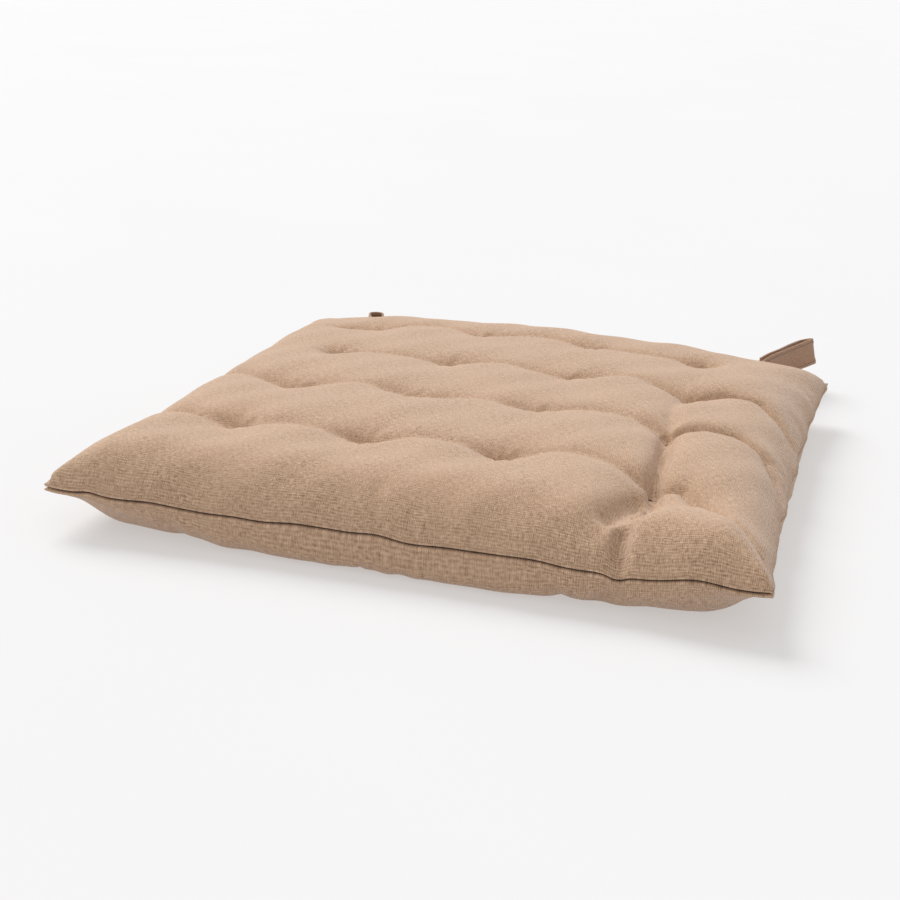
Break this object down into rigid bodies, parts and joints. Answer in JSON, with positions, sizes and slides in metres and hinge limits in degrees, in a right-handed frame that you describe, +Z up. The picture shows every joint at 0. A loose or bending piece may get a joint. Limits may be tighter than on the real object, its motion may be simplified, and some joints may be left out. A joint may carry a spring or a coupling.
{
  "type": "tufted seat cushion",
  "caption": "Square tufted fabric seat cushion with a knife-edge seam and closed fastening straps at its back edge.",
  "frame": {"origin": "centre of the pad's flat underside", "axes": "+Z up through the pad's thickness, +Y towards the edge with the straps, +X to the right seen from the front edge"},
  "size_m": [0.4, 0.4946, 0.0543],
  "materials": {
    "cover": "plain-weave linen-look cloth, matt",
    "wadding": "white polyester fibre wadding",
    "thread": "brown twisted sewing thread",
    "band": "folded and edge-stitched linen-look band",
    "tape": "woven hook and loop tape"
  },
  "bodies": {
    "pad": {"top_panel": "cover", "bottom_panel": "cover", "wadding_upper": "wadding", "wadding_lower": "wadding", "edge_seam_thread": "thread", "closing_seam_thread": "thread", "tuft_tie_r1_c1": "thread", "tuft_tie_r1_c2": "thread", "tuft_tie_r1_c3": "thread", "tuft_tie_r1_c4": "thread", "tuft_tie_r2_c1": "thread", "tuft_tie_r2_c2": "thread", "tuft_tie_r2_c3": "thread", "tuft_tie_r2_c4": "thread", "tuft_tie_r3_c1": "thread", "tuft_tie_r3_c2": "thread", "tuft_tie_r3_c3": "thread", "tuft_tie_r3_c4": "thread", "tuft_tie_r4_c1": "thread", "tuft_tie_r4_c2": "thread", "tuft_tie_r4_c3": "thread", "tuft_tie_r4_c4": "thread"},
    "strap_right": {"strap_right_sewn_run": "band", "strap_right_loop_tape": "tape"},
    "strap_right_end": {"strap_right_free_run": "band", "strap_right_hook_tape": "tape"},
    "strap_left": {"strap_left_sewn_run": "band", "strap_left_loop_tape": "tape"},
    "strap_left_end": {"strap_left_free_run": "band", "strap_left_hook_tape": "tape"}
  },
  "joints": [
    {"name": "strap_right_swing", "type": "hinge", "parent": "pad", "child": "strap_right", "pos_m": [0.13992, 0.19732, 0.02396], "axis": [0.9984, 0.0559, 0], "range_deg": [-65, 65]},
    {"name": "strap_right_open", "type": "hinge", "parent": "strap_right", "child": "strap_right_end", "pos_m": [0.1793, 0.29387, 0.028], "axis": [0, 0, -1], "range_deg": [0, 170]},
    {"name": "strap_left_swing", "type": "hinge", "parent": "pad", "child": "strap_left", "pos_m": [-0.13992, 0.19732, 0.02396], "axis": [0.9984, -0.0559, 0], "range_deg": [-65, 65]},
    {"name": "strap_left_open", "type": "hinge", "parent": "strap_left", "child": "strap_left_end", "pos_m": [-0.1793, 0.29387, 0.0112], "axis": [0, 0, 1], "range_deg": [0, 170]}
  ]
}
